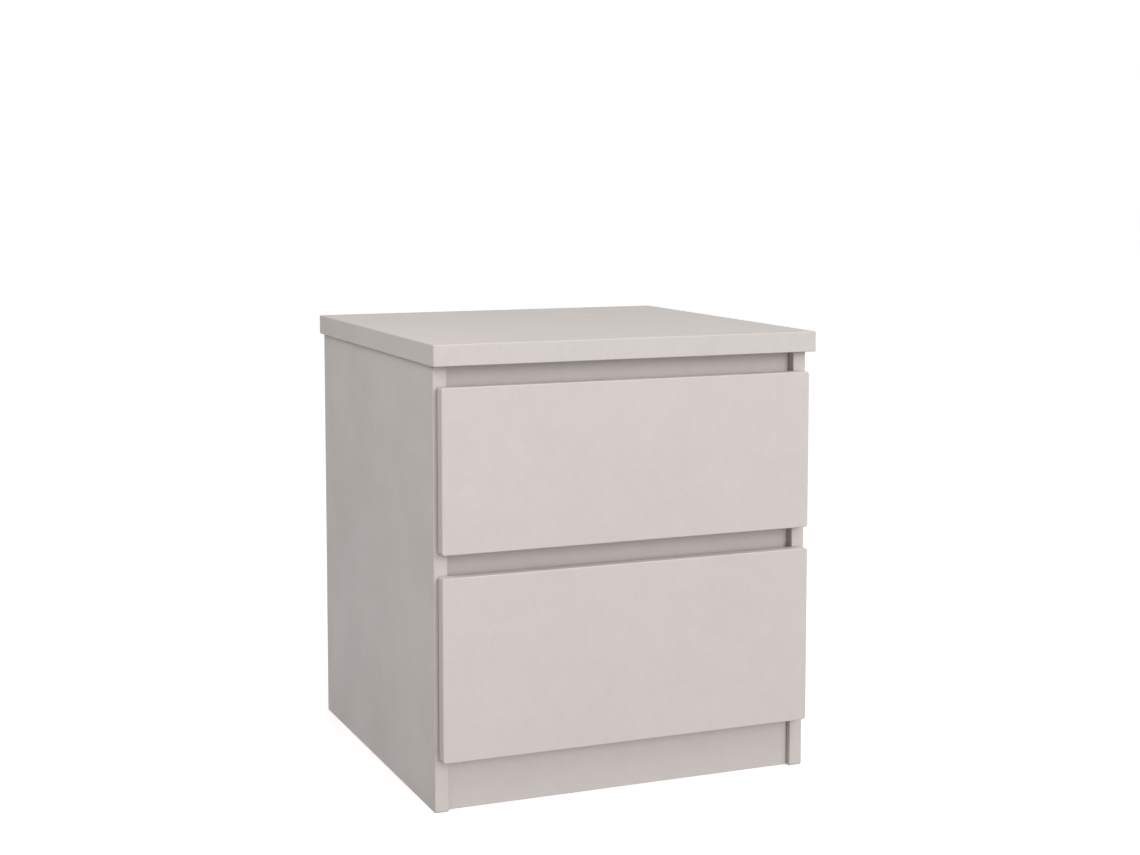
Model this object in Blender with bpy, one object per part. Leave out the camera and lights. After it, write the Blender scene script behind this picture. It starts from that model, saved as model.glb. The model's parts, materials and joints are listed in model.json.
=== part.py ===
"""Two-drawer bedside cabinet, built as the flat-pack it is: boards, rails, roller runners and cam fittings.

Metres, +Z up. The origin is on the floor, at the centre of the footprint: +X is the user's right as they
face the cabinet, -Y is the front, where the drawers come out, and the top panel is the widest piece.
Each visible object is one physical piece. Empties stand for the bodies that move.
"""

import math

import bmesh
import bpy
from mathutils import Matrix, Vector

# ---- Driving dimensions ------------------------------------------------------------------------------
HEIGHT = 0.550
TOP_WIDTH = 0.496
TOP_DEPTH = 0.491
TOP_THICK = 0.025
TOP_SIDE_OVERHANG = 0.005
TOP_BACK_OVERHANG = 0.005
BOARD = 0.017  # side panels
FRONT_THICK = 0.016  # drawer fronts, rails and plinth
BOX_BOARD = 0.012  # drawer box sides and back
SHEET = 0.003  # back panel and drawer bottoms
GAP = 0.0003  # left between pieces that rest on each other

FRONT_STANDOFF = 0.002  # a closed drawer front's back face to the side panels' front edges
FRONT_REVEAL = 0.0045  # side panel left showing beside a drawer front
RAIL_RECESS = 0.012
PLINTH_RECESS = 0.008

LOWER_FRONT = (0.0635, 0.2805)  # bottom and top of each drawer front
UPPER_FRONT = (0.3070, 0.5005)
BOX_ABOVE_FRONT_BOTTOM = 0.021
LOWER_BOX_TOP = 0.258
UPPER_BOX_TOP = 0.462
PLINTH_TOP = 0.076
MIDDLE_RAIL = (0.268, 0.320)
END_RAIL_HEIGHT = 0.055  # upper front, upper rear
LOWER_REAR_RAIL_TOP = 0.070

BOX_DEPTH = 0.400
RUNNER_SPACE = 0.0125  # between a side panel and a drawer box
GROOVE_RISE = 0.010  # drawer bottom's groove above the box's lower edge
GROOVE_DEPTH = 0.005
GROOVE_HEIGHT = SHEET + 2 * GAP

STEEL = 0.0012  # runner sheet
RUNNER_LENGTH = 0.400
RUNNER_INSET = 0.003  # behind the side panel's front edge
ROLLER_RADIUS = 0.0075
ROLLER_WIDTH = 0.0062
ROLLER_EDGE = 0.0008
PIN_RADIUS = 0.0025
PIN_CLEARANCE = 0.0001
PIN_HEAD = (0.0035, 0.0008)  # radius, thickness
SLIDE_TRAVEL = 0.300

CAM_RADIUS = 0.0073
CAM_BORE = 0.0076
CAM_FACE = 0.0022  # thickness of the cam's face, ahead of its slot
BOX_CAM_FROM_FRONT = 0.024
TOP_CAM_BELOW_TOP = 0.034
TOP_CAM_Y = 0.150

BUMPER_RADIUS = 0.004

EDGE_RADIUS = 0.0012  # banded edges of the visible boards
SMALL_EDGE = 0.0006
ROUND_STEPS = 24

# ---- Places worked out from the dimensions -----------------------------------------------------------
FRONT_Y = -TOP_DEPTH / 2  # faces of the top panel and of the closed drawer fronts
FRONT_BACK_Y = FRONT_Y + FRONT_THICK
SIDE_FRONT_Y = FRONT_BACK_Y + FRONT_STANDOFF
SIDE_BACK_Y = TOP_DEPTH / 2 - TOP_BACK_OVERHANG
OUTER_X = TOP_WIDTH / 2 - TOP_SIDE_OVERHANG  # outer face of a side panel
INNER_X = OUTER_X - BOARD
TOP_UNDERSIDE = HEIGHT - TOP_THICK
BOX_X = INNER_X - RUNNER_SPACE  # outer face of a drawer box
BOX_INNER_X = BOX_X - BOX_BOARD
BOX_FRONT_Y = FRONT_BACK_Y + GAP
BOX_BACK_Y = FRONT_BACK_Y + BOX_DEPTH
RUNNER_FRONT_Y = SIDE_FRONT_Y + RUNNER_INSET

# Runner heights are above the lower edge of the drawer box; distances in are from the side panel's face.
TRACK_LEVEL = 0.0011
DRAWER_ROLLER_LEVEL = TRACK_LEVEL + PIN_CLEARANCE + ROLLER_RADIUS
CABINET_ROLLER_LEVEL = DRAWER_ROLLER_LEVEL + GAP
CABINET_ROLLER_IN = 0.0020
DRAWER_ROLLER_IN = 0.0029
CABINET_ROLLER_Y = RUNNER_FRONT_Y + 0.012
DRAWER_ROLLER_Y = BOX_BACK_Y - 0.012


# ---- Scene, materials and bodies ---------------------------------------------------------------------
def clear_scene():
    for obj in list(bpy.data.objects):
        bpy.data.objects.remove(obj)


def material(name, colour, roughness, metallic=0.0):
    made = bpy.data.materials.new(name)
    made.use_nodes = True
    shader = made.node_tree.nodes["Principled BSDF"]
    shader.inputs["Base Color"].default_value = (*colour, 1.0)
    shader.inputs["Roughness"].default_value = roughness
    shader.inputs["Metallic"].default_value = metallic
    made.diffuse_color = (*colour, 1.0)
    return made


def body(name, location=(0, 0, 0), parent=None):
    empty = bpy.data.objects.new(name, None)
    empty.empty_display_size = 0.05
    empty.location = location
    empty.parent = parent
    bpy.context.scene.collection.objects.link(empty)
    return empty


def place(name, mesh, centre, mat, parent):
    """A new object of mesh, with its origin at centre (in world space) under the parent empty."""
    obj = bpy.data.objects.new(name, mesh)
    obj.data.materials.append(mat)
    bpy.context.scene.collection.objects.link(obj)
    obj.parent = parent
    held_at = parent.matrix_world.translation if parent else Vector((0, 0, 0))
    obj.location = Vector(centre) - held_at
    return obj


def finish_mesh(name, bm):
    bmesh.ops.recalc_face_normals(bm, faces=bm.faces)
    mesh = bpy.data.meshes.new(name)
    bm.to_mesh(mesh)
    bm.free()
    return mesh


# ---- Shapes ------------------------------------------------------------------------------------------
def box_mesh(name, size):
    bm = bmesh.new()
    bmesh.ops.create_cube(bm, size=1.0)
    bmesh.ops.scale(bm, vec=size, verts=bm.verts)
    return finish_mesh(name, bm)


def board(name, low, high, mat, parent, edge=EDGE_RADIUS, segments=2):
    """A board between two opposite corners, with its edges rounded."""
    low, high = Vector(low), Vector(high)
    obj = place(name, box_mesh(name, high - low), (low + high) / 2, mat, parent)
    if edge:
        rounding = obj.modifiers.new("edge_rounding", "BEVEL")
        rounding.width = edge
        rounding.segments = segments
        rounding.limit_method = "NONE"
    return obj


def cylinder_mesh(name, radius, length, axis, steps=ROUND_STEPS):
    """A solid cylinder centred on the origin, along the X, Y or Z axis."""
    bm = bmesh.new()
    bmesh.ops.create_cone(
        bm, cap_ends=True, segments=steps, radius1=radius, radius2=radius, depth=length
    )
    if axis != "Z":
        turn = Matrix.Rotation(math.pi / 2, 3, "Y" if axis == "X" else "X")
        bmesh.ops.rotate(bm, matrix=turn, verts=bm.verts)
    return finish_mesh(name, bm)


def turned_mesh(name, profile, axis, steps=ROUND_STEPS):
    """A turned solid: profile is its closed half section, as (distance along the axis, radius) points."""
    bm = bmesh.new()
    along = {"X": Vector((1, 0, 0)), "Y": Vector((0, 1, 0))}[axis]
    points = [bm.verts.new(along * a + Vector((0, 0, 1)) * r) for a, r in profile]
    edges = [bm.edges.new((points[i - 1], points[i])) for i in range(len(points))]
    bmesh.ops.spin(
        bm,
        geom=points + edges,
        cent=(0, 0, 0),
        axis=along,
        angle=2 * math.pi,
        steps=steps,
        use_merge=True,
    )
    bmesh.ops.remove_doubles(bm, verts=bm.verts, dist=1e-6)
    mesh = finish_mesh(name, bm)
    mesh.shade_smooth()
    mesh.set_sharp_from_angle(angle=math.radians(40))
    return mesh


def folded_outline(path, thick):
    """The outline of sheet metal of one thickness folded along path, with mitred corners."""
    path = [Vector(p) for p in path]
    left, right = [], []
    for i, point in enumerate(path):
        into = (point - path[i - 1]).normalized() if i else None
        out = (path[i + 1] - point).normalized() if i + 1 < len(path) else None
        into, out = into or out, out or into
        normal = Vector((-into.y - out.y, into.x + out.x)).normalized()
        reach = thick / 2 / normal.dot(Vector((-out.y, out.x)))
        left.append(point + normal * reach)
        right.append(point - normal * reach)
    return left + right[::-1]


def sheet_section(name, outline, side, length):
    """Sheet section extruded along Y from the origin. Its first coordinate runs inwards from the side panel."""
    bm = bmesh.new()
    start = [bm.verts.new((-side * u, 0, v)) for u, v in outline]
    cap = bm.faces.new(start)
    pushed = bmesh.ops.extrude_face_region(bm, geom=[cap])["geom"]
    moved = [v for v in pushed if isinstance(v, bmesh.types.BMVert)]
    bmesh.ops.translate(bm, vec=(0, length, 0), verts=moved)
    return finish_mesh(name, bm)


def boolean(obj, mesh, centre, operation="DIFFERENCE"):
    """Cuts mesh from obj, or joins it on. The helper object stays in the scene, hidden from renders."""
    helper = bpy.data.objects.new(f"{obj.name}_{operation.lower()}_{len(obj.modifiers)}", mesh)
    bpy.context.scene.collection.objects.link(helper)
    helper.location = centre
    helper.hide_render = True
    helper.display_type = "WIRE"
    change = obj.modifiers.new(f"{operation.lower()}_{len(obj.modifiers)}", "BOOLEAN")
    change.operation = operation
    change.solver = "EXACT"
    change.object = helper


def bore(obj, centre, radius, length, axis):
    mesh = cylinder_mesh(f"{obj.name}_bore", radius, length, axis)
    boolean(obj, mesh, centre)


def slot(obj, low, high):
    low, high = Vector(low), Vector(high)
    boolean(obj, box_mesh(f"{obj.name}_slot", high - low), (low + high) / 2)


# ---- Fittings ----------------------------------------------------------------------------------------
def cam(name, side, face_x, centre_y, centre_z, depth, bolt_from, mats, parent):
    """A cam disc let into a board's inner face at face_x, with a slot towards the bolt: -Y or +Z."""
    reach = depth - 2 * GAP
    middle_x = face_x + side * (GAP + reach / 2)
    mesh = cylinder_mesh(name, CAM_RADIUS, reach, "X")
    disc = place(name, mesh, (middle_x, centre_y, centre_z), mats["zinc"], parent)
    hollow, bolt_half, past = 0.0300, 0.0037, 0.0030
    inner_end = face_x + side * (GAP + CAM_FACE)
    xs = sorted((inner_end, inner_end + side * hollow))
    if bolt_from == "-Y":
        ys, zs = (centre_y - hollow, centre_y + past), (centre_z - bolt_half, centre_z + bolt_half)
    else:
        ys, zs = (centre_y - bolt_half, centre_y + bolt_half), (centre_z - past, centre_z + hollow)
    slot(disc, (xs[0], ys[0], zs[0]), (xs[1], ys[1], zs[1]))


def roller_and_pin(label, side, inwards, centre_y, centre_z, head_at, pin_from, mats, holder, spinner):
    """A nylon roller on its own body, and the riveted pin that it turns on, which its runner holds."""

    def x(distance_in):
        return side * (INNER_X - distance_in)

    half = ROLLER_WIDTH / 2
    bore_radius = PIN_RADIUS + PIN_CLEARANCE
    profile = [
        (-half, bore_radius),
        (half, bore_radius),
        (half, ROLLER_RADIUS - ROLLER_EDGE),
        (half - ROLLER_EDGE, ROLLER_RADIUS),
        (ROLLER_EDGE - half, ROLLER_RADIUS),
        (-half, ROLLER_RADIUS - ROLLER_EDGE),
    ]
    centre = (x(inwards + half), centre_y, centre_z)
    place(f"{label}_roller", turned_mesh(label, profile, "X"), centre, mats["nylon"], spinner)

    head_radius, head_thick = PIN_HEAD
    far = head_at + math.copysign(head_thick, head_at - pin_from)
    section = [(pin_from, 0.0), (pin_from, PIN_RADIUS), (head_at, PIN_RADIUS)]
    section += [(head_at, head_radius), (far, head_radius), (far, 0.0)]
    profile = [(-side * (distance - head_at), radius) for distance, radius in section]
    pin_centre = (x(head_at), centre_y, centre_z)
    place(f"{label}_roller_pin", turned_mesh(label, profile, "X"), pin_centre, mats["zinc"], holder)


def cabinet_runner(label, side, box_bottom, mats, cabinet):
    """Channel screwed to the side panel: the track for the drawer's roller, and a roller at its front."""
    path = [(0.0100, 0.0045), (0.0100, 0.0005), (0.0009, 0.0005)]
    path += [(0.0009, 0.0214), (0.0075, 0.0214), (0.0075, 0.0190)]
    section = sheet_section(label, folded_outline(path, STEEL), side, RUNNER_LENGTH)
    start = (side * INNER_X, RUNNER_FRONT_Y, box_bottom)
    channel = place(label, section, start, mats["runner"], cabinet)

    roller_z = box_bottom + CABINET_ROLLER_LEVEL
    pin_hole = (side * (INNER_X - 0.0009), CABINET_ROLLER_Y, roller_z)
    bore(channel, pin_hole, PIN_RADIUS + PIN_CLEARANCE, 0.006, "X")

    stop_y = DRAWER_ROLLER_Y - SLIDE_TRAVEL - ROLLER_RADIUS - 0.0005
    stop_size = Vector((0.0040, 0.0015, 0.0036))
    stop_x = side * (INNER_X - 0.0058)
    stop_z = box_bottom + TRACK_LEVEL - 0.0006 + stop_size.z / 2
    stop_at = (stop_x, stop_y - stop_size.y / 2, stop_z)
    boolean(channel, box_mesh(f"{label}_stop", stop_size), stop_at, "UNION")

    spinner = body(f"{label}_roller_axis", (side * INNER_X, CABINET_ROLLER_Y, roller_z), cabinet)
    bpy.context.view_layer.update()
    head_at = CABINET_ROLLER_IN + ROLLER_WIDTH + GAP
    roller_and_pin(
        label, side, CABINET_ROLLER_IN, CABINET_ROLLER_Y, roller_z, head_at, 0.0004, mats, cabinet, spinner
    )


def drawer_runner(label, side, box_bottom, mats, drawer):
    """Angle screwed under the drawer side: its outer flange rolls on the cabinet's front roller."""
    under, web = RUNNER_SPACE + 0.011, RUNNER_SPACE - GAP - STEEL / 2
    flange = CABINET_ROLLER_LEVEL + ROLLER_RADIUS + PIN_CLEARANCE + STEEL / 2
    path = [(under, -GAP - STEEL / 2), (web, -GAP - STEEL / 2), (web, flange), (0.0030, flange)]
    length = BOX_DEPTH - 0.003
    section = sheet_section(label, folded_outline(path, STEEL), side, length)
    start = (side * INNER_X, FRONT_BACK_Y + 0.001, box_bottom)
    angle = place(label, section, start, mats["runner"], drawer)

    roller_z = box_bottom + DRAWER_ROLLER_LEVEL
    pin_hole = (side * (INNER_X - web), DRAWER_ROLLER_Y, roller_z)
    bore(angle, pin_hole, PIN_RADIUS + PIN_CLEARANCE, 0.0022, "X")

    spinner = body(f"{label}_roller_axis", (side * INNER_X, DRAWER_ROLLER_Y, roller_z), drawer)
    bpy.context.view_layer.update()
    head_at = DRAWER_ROLLER_IN - GAP
    pin_from = RUNNER_SPACE - GAP
    roller_and_pin(
        label, side, DRAWER_ROLLER_IN, DRAWER_ROLLER_Y, roller_z, head_at, pin_from, mats, drawer, spinner
    )


# ---- Drawers -----------------------------------------------------------------------------------------
def drawer_front(label, z_range, box_bottom, cam_z, mats, drawer):
    half = OUTER_X - FRONT_REVEAL
    front = board(
        f"{label}_drawer_front",
        (-half, FRONT_Y, z_range[0]),
        (half, FRONT_BACK_Y, z_range[1]),
        mats["lacquer"],
        drawer,
    )
    groove_low = box_bottom + GROOVE_RISE
    groove_end = BOX_INNER_X + GROOVE_DEPTH
    slot(
        front,
        (-groove_end, FRONT_BACK_Y - GROOVE_DEPTH, groove_low),
        (groove_end, FRONT_BACK_Y + 0.01, groove_low + GROOVE_HEIGHT),
    )
    for side in (-1, 1):
        bore_x = side * (BOX_X - BOX_BOARD / 2)
        bore(front, (bore_x, FRONT_BACK_Y, cam_z), PIN_RADIUS + PIN_CLEARANCE, 0.023, "Y")


def cam_bolt(name, x, z, mats, drawer):
    """Threads into the drawer front; its head is drawn back by the cam in the drawer side."""
    thread, shank, neck, head = 0.0110, 0.0150, 0.0040, 0.0030
    ends = [-thread, GAP, GAP + shank, GAP + shank + neck, GAP + shank + neck + head]
    section = [(ends[0], 0.0), (ends[0], PIN_RADIUS), (ends[1], PIN_RADIUS), (ends[1], 0.0035)]
    section += [(ends[2], 0.0035), (ends[2], 0.0020), (ends[3], 0.0020), (ends[3], 0.0033)]
    section += [(ends[4], 0.0033), (ends[4], 0.0)]
    mesh = turned_mesh(name, section, "Y", 16)
    place(name, mesh, (x, FRONT_BACK_Y, z), mats["zinc"], drawer)


def drawer_side(label, side, box_bottom, box_top, cam_z, mats, drawer):
    hand = "left" if side < 0 else "right"
    xs = sorted((side * BOX_X, side * BOX_INNER_X))
    panel = board(
        f"{label}_drawer_{hand}_side",
        (xs[0], BOX_FRONT_Y, box_bottom),
        (xs[1], BOX_BACK_Y, box_top),
        mats["box_board"],
        drawer,
        SMALL_EDGE,
    )
    groove_low = box_bottom + GROOVE_RISE
    groove_xs = sorted((side * (BOX_INNER_X - 0.01), side * (BOX_INNER_X + GROOVE_DEPTH)))
    slot(
        panel,
        (groove_xs[0], BOX_FRONT_Y - 0.01, groove_low),
        (groove_xs[1], BOX_BACK_Y + 0.01, groove_low + GROOVE_HEIGHT),
    )
    cam_depth = 0.010
    cam_y = FRONT_BACK_Y + BOX_CAM_FROM_FRONT
    bore(panel, (side * BOX_INNER_X, cam_y, cam_z), CAM_BORE, 2 * cam_depth, "X")
    bolt_x = side * (BOX_X - BOX_BOARD / 2)
    bore(panel, (bolt_x, BOX_FRONT_Y, cam_z), 0.004, 2 * BOX_CAM_FROM_FRONT, "Y")
    name = f"{label}_drawer_{hand}_cam"
    cam(name, side, side * BOX_INNER_X, cam_y, cam_z, cam_depth, "-Y", mats, drawer)
    cam_bolt(f"{label}_drawer_{hand}_cam_bolt", bolt_x, cam_z, mats, drawer)


def drawer(label, z_range, box_top, mats, cabinet):
    """One drawer: front, box, bottom, runners, bumpers. Its empty slides along -Y by SLIDE_TRAVEL."""
    box_bottom = z_range[0] + BOX_ABOVE_FRONT_BOTTOM
    cam_z = (box_bottom + box_top) / 2
    holder = body(f"{label}_drawer", (0, FRONT_Y, (z_range[0] + z_range[1]) / 2), cabinet)
    bpy.context.view_layer.update()

    drawer_front(label, z_range, box_bottom, cam_z, mats, holder)
    for side in (-1, 1):
        hand = "left" if side < 0 else "right"
        drawer_side(label, side, box_bottom, box_top, cam_z, mats, holder)
        drawer_runner(f"{label}_drawer_{hand}_runner", side, box_bottom, mats, holder)
        bumper_x = side * (INNER_X + 0.0065)
        thick = FRONT_STANDOFF - 2 * GAP
        mesh = cylinder_mesh(label, BUMPER_RADIUS, thick, "Y", 20)
        at = (bumper_x, FRONT_BACK_Y + FRONT_STANDOFF / 2, z_range[1] - 0.020)
        place(f"{label}_drawer_{hand}_bumper", mesh, at, mats["bumper"], holder)

    floor_top = box_bottom + GROOVE_RISE + GROOVE_HEIGHT
    board(
        f"{label}_drawer_back",
        (GAP - BOX_INNER_X, BOX_BACK_Y - BOX_BOARD, floor_top),
        (BOX_INNER_X - GAP, BOX_BACK_Y, box_top),
        mats["box_board"],
        holder,
        SMALL_EDGE,
    )
    reach = BOX_INNER_X + GROOVE_DEPTH - GAP
    sheet_low = box_bottom + GROOVE_RISE + GAP
    board(
        f"{label}_drawer_bottom",
        (-reach, FRONT_BACK_Y - GROOVE_DEPTH + GAP, sheet_low),
        (reach, BOX_BACK_Y, sheet_low + SHEET),
        mats["box_sheet"],
        holder,
        0,
    )


# ---- Cabinet -----------------------------------------------------------------------------------------
def side_panel(side, mats, cabinet):
    hand = "left" if side < 0 else "right"
    xs = sorted((side * OUTER_X, side * INNER_X))
    panel = board(
        f"{hand}_side_panel",
        (xs[0], SIDE_FRONT_Y, 0),
        (xs[1], SIDE_BACK_Y, TOP_UNDERSIDE - GAP),
        mats["lacquer"],
        cabinet,
    )
    cam_depth = 0.0128
    cam_z = TOP_UNDERSIDE - TOP_CAM_BELOW_TOP
    for place_word, y in (("front", -TOP_CAM_Y), ("rear", TOP_CAM_Y)):
        bore(panel, (side * INNER_X, y, cam_z), CAM_BORE, 2 * cam_depth, "X")
        name = f"{hand}_{place_word}_top_cam"
        cam(name, side, side * INNER_X, y, cam_z, cam_depth, "+Z", mats, cabinet)


def rail(name, front_y, z_range, mats, cabinet):
    board(
        name,
        (GAP - INNER_X, front_y, z_range[0]),
        (INNER_X - GAP, front_y + FRONT_THICK, z_range[1]),
        mats["lacquer"],
        cabinet,
        SMALL_EDGE,
    )


def carcass(mats, cabinet):
    board(
        "top_panel",
        (-TOP_WIDTH / 2, -TOP_DEPTH / 2, TOP_UNDERSIDE),
        (TOP_WIDTH / 2, TOP_DEPTH / 2, HEIGHT),
        mats["lacquer"],
        cabinet,
    )
    for side in (-1, 1):
        side_panel(side, mats, cabinet)

    rail_y = SIDE_FRONT_Y + RAIL_RECESS
    upper = (TOP_UNDERSIDE - END_RAIL_HEIGHT, TOP_UNDERSIDE - GAP)
    rear_y = SIDE_BACK_Y - GAP - FRONT_THICK
    rail("upper_front_rail", rail_y, upper, mats, cabinet)
    rail("middle_front_rail", rail_y, MIDDLE_RAIL, mats, cabinet)
    rail("plinth", SIDE_FRONT_Y + PLINTH_RECESS, (0, PLINTH_TOP), mats, cabinet)
    rail("upper_rear_rail", rear_y, upper, mats, cabinet)
    rail("lower_rear_rail", rear_y, (0, LOWER_REAR_RAIL_TOP), mats, cabinet)

    back_half = OUTER_X - SHEET
    board(
        "back_panel",
        (-back_half, SIDE_BACK_Y + GAP, 0.012),
        (back_half, SIDE_BACK_Y + GAP + SHEET, TOP_UNDERSIDE - GAP),
        mats["back_sheet"],
        cabinet,
        0,
    )


def main():
    clear_scene()
    mats = {
        "lacquer": material("warm_grey_lacquer", (0.58, 0.53, 0.51), 0.45),
        "box_board": material("drawer_box_foil", (0.67, 0.65, 0.61), 0.50),
        "box_sheet": material("drawer_bottom_sheet", (0.68, 0.66, 0.62), 0.60),
        "back_sheet": material("back_panel_sheet", (0.58, 0.55, 0.52), 0.65),
        "runner": material("runner_enamel", (0.78, 0.78, 0.76), 0.40),
        "nylon": material("roller_nylon", (0.77, 0.76, 0.72), 0.35),
        "zinc": material("zinc_fittings", (0.62, 0.62, 0.63), 0.35, 1.0),
        "bumper": material("bumper_rubber", (0.70, 0.69, 0.66), 0.55),
    }
    cabinet = body("cabinet")
    carcass(mats, cabinet)
    levels = (("upper", UPPER_FRONT, UPPER_BOX_TOP), ("lower", LOWER_FRONT, LOWER_BOX_TOP))
    for label, z_range, box_top in levels:
        drawer(label, z_range, box_top, mats, cabinet)
        for side in (-1, 1):
            hand = "left" if side < 0 else "right"
            box_bottom = z_range[0] + BOX_ABOVE_FRONT_BOTTOM
            cabinet_runner(f"{label}_{hand}_cabinet_runner", side, box_bottom, mats, cabinet)
    bpy.context.view_layer.update()


main()
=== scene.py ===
"""Looks for the two-drawer bedside cabinet: finished boards and fittings, materials, light and camera.

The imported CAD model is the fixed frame, in metres, +Z up, with the drawers opening towards -Y. Every visible
piece is rebuilt here at the place and size of its CAD node, and rides on that node's body.
"""

import json
import math

import bmesh
import bpy
from mathutils import Matrix, Vector


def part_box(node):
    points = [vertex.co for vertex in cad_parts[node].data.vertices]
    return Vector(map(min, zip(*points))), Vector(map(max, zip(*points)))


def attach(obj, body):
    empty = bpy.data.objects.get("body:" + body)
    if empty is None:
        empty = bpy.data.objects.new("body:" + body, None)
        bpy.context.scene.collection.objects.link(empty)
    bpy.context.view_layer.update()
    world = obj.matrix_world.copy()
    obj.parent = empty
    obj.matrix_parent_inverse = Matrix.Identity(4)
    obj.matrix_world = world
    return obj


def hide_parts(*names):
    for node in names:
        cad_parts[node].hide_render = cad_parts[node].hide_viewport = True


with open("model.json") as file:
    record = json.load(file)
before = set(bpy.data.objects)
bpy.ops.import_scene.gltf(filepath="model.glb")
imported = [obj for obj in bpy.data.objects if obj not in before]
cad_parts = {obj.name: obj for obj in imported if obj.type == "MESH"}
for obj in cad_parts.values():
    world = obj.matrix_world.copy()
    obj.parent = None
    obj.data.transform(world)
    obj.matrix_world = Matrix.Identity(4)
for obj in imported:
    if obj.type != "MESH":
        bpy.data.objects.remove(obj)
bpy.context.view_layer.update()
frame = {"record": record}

scene = bpy.context.scene
BODIES = frame["record"]["behaviour"]["bodies"]
BODY_OF = {node: body for body, nodes in BODIES.items() for node in nodes}
SLOT_OF = {part["node"]: part["material_slot"] for part in frame["record"]["subparts"]}
LEVELS = ("upper", "lower")
HANDS = {"left": -1, "right": 1}  # a hand's side along X
X, Y, Z = 0, 1, 2

# ---- Sizes of the finish, in metres -------------------------------------------------------------------
ARRIS = 0.0011  # rounding along a banded edge
CORNER = 0.0024  # rounding of a banded board's corners
FRONT_CORNER = 0.0032  # of a drawer front's corners
SMALL_ARRIS = 0.0006  # rounding along the edges of rails and drawer box boards
RAIL_CORNER = 0.0008
BOX_CORNER = 0.0010
SHEET_ARRIS = 0.0002  # fibreboard, 3 mm thick
LEAST_CORNER = 0.0002  # left of a corner's rounding at the bottom of the arris
ARRIS_STEPS = 4
CORNER_STEPS = 6
SEAM_IN = 0.0024  # the edge band's glue line, in from the edge
SEAM_WIDTH = 0.0003
SEAM_DEPTH = 0.00005
FIT = 0.0003  # round a piece that is let into a board
BOLT_FIT = 0.0001  # round a cam bolt in a drawer front
BOLT_ROOM = 0.0004  # round a cam bolt in a drawer side
STEEL = 0.0012  # runner sheet
BEND = 0.0013  # to the middle of the sheet
BEND_STEPS = 4
TURN_STEPS = 48
SHARP_ANGLE = 38  # degrees between faces, from which an edge is shaded sharp


# ---- Camera, floor and light --------------------------------------------------------------------------
CAMERA_AT = (-0.9256, -2.2813, 0.7455)
CAMERA_YAW = 22.545  # degrees to the right of +Y
CAMERA_PITCH = 4.949  # degrees below the horizon
CAMERA_LENS = 60.02
CAMERA_SHIFT = -0.08
SENSOR = 36.0

SKY_COLOUR = (0.985, 1, 0.99, 1)
SKY_STRENGTH = 0.365
SUNS = {  # azimuth from the front to the right, elevation, softness (degrees), strength, colour
    "front_sky": (10, 15, 40, 1.6, (1, 1, 1)),
    "overhead_sky": (60, 78, 60, 0.58, (1, 0.97, 0.965)),
    "back_sky": (150, 35, 50, 0.15, (1, 1, 1)),
}
PANELS = {  # place, target, power (watts), colour
    "front_left_panel": ((-1.3, -0.7, 1.7), (0, 0, 0.3), 14.8, (1, 0.965, 0.955)),
    "front_right_panel": ((0.8, -1.3, 1.3), (0, -0.2, 0.3), 5.6, (1, 0.975, 0.99)),
    "right_panel": ((1.6, 0, 0.9), (0, 0, 0.3), 6.5, (1, 1, 1)),
}
PANEL_SIZE = 1.0
SUN_DISTANCE = 4  # a sun's light doesn't depend on it
FLOOR_HALF = 30
DOME_RADIUS = 28
FLOOR_GLOW = 0.36  # makes the lit floor as white as the photo's background


def add_camera():
    data = bpy.data.cameras.new("camera")
    data.sensor_width = SENSOR
    data.lens = CAMERA_LENS
    data.shift_y = CAMERA_SHIFT
    camera = bpy.data.objects.new("camera", data)
    camera.location = CAMERA_AT
    camera.rotation_euler = (math.radians(90 - CAMERA_PITCH), 0, -math.radians(CAMERA_YAW))
    scene.collection.objects.link(camera)
    scene.camera = camera


def aimed(name, data, location, target):
    light = bpy.data.objects.new(name, data)
    light.location = location
    aim = Vector(target) - Vector(location)
    light.rotation_euler = aim.to_track_quat("-Z", "Y").to_euler()
    scene.collection.objects.link(light)


def sun_light(name, azimuth, elevation, softness, strength, colour):
    """Even light from a broad patch of sky."""
    data = bpy.data.lights.new(name, "SUN")
    data.angle = math.radians(softness)
    data.energy = strength
    data.color = colour
    turn, rise = math.radians(azimuth), math.radians(elevation)
    at = (math.sin(turn) * math.cos(rise), -math.cos(turn) * math.cos(rise), math.sin(rise))
    aimed(name, data, Vector(at) * SUN_DISTANCE, (0, 0, 0))


def panel_light(name, location, target, power, colour):
    """A square soft panel at a place near the object."""
    data = bpy.data.lights.new(name, "AREA")
    data.shape = "SQUARE"
    data.size = PANEL_SIZE
    data.energy = power
    data.color = colour
    aimed(name, data, location, target)


def add_light():
    """Plain soft studio light: sky all round, panels at the front left, front right and right."""
    world = bpy.data.worlds.new("studio")
    world.use_nodes = True
    background = world.node_tree.nodes["Background"]
    background.inputs["Color"].default_value = SKY_COLOUR
    background.inputs["Strength"].default_value = SKY_STRENGTH
    scene.world = world
    for name, sun in SUNS.items():
        sun_light(name, *sun)
    for name, panel in PANELS.items():
        panel_light(name, *panel)
    scene.view_settings.view_transform = "Standard"


# ---- Material helpers ---------------------------------------------------------------------------------
NOISE_LOW, NOISE_SPAN = 0.3, 0.4  # nearly all of a noise lies in this range


def new_material(name, **constants):
    """A material and its shader. constants are the shader's own sockets, with _ for a space."""
    made = bpy.data.materials.new(name)
    made.use_nodes = True
    shader = made.node_tree.nodes["Principled BSDF"]
    for socket, value in constants.items():
        shader.inputs[socket.replace("_", " ")].default_value = value
    return made, made.node_tree, shader


def node(tree, kind, settings=(), **inputs):
    """A new node; an input is a constant or another node's output socket."""
    made = tree.nodes.new(kind)
    for key, value in dict(settings).items():
        setattr(made, key, value)
    for key, value in inputs.items():
        socket = made.inputs[key.replace("_", " ")]
        if isinstance(value, bpy.types.NodeSocket):
            tree.links.new(value, socket)
        else:
            socket.default_value = value
    return made


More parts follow.
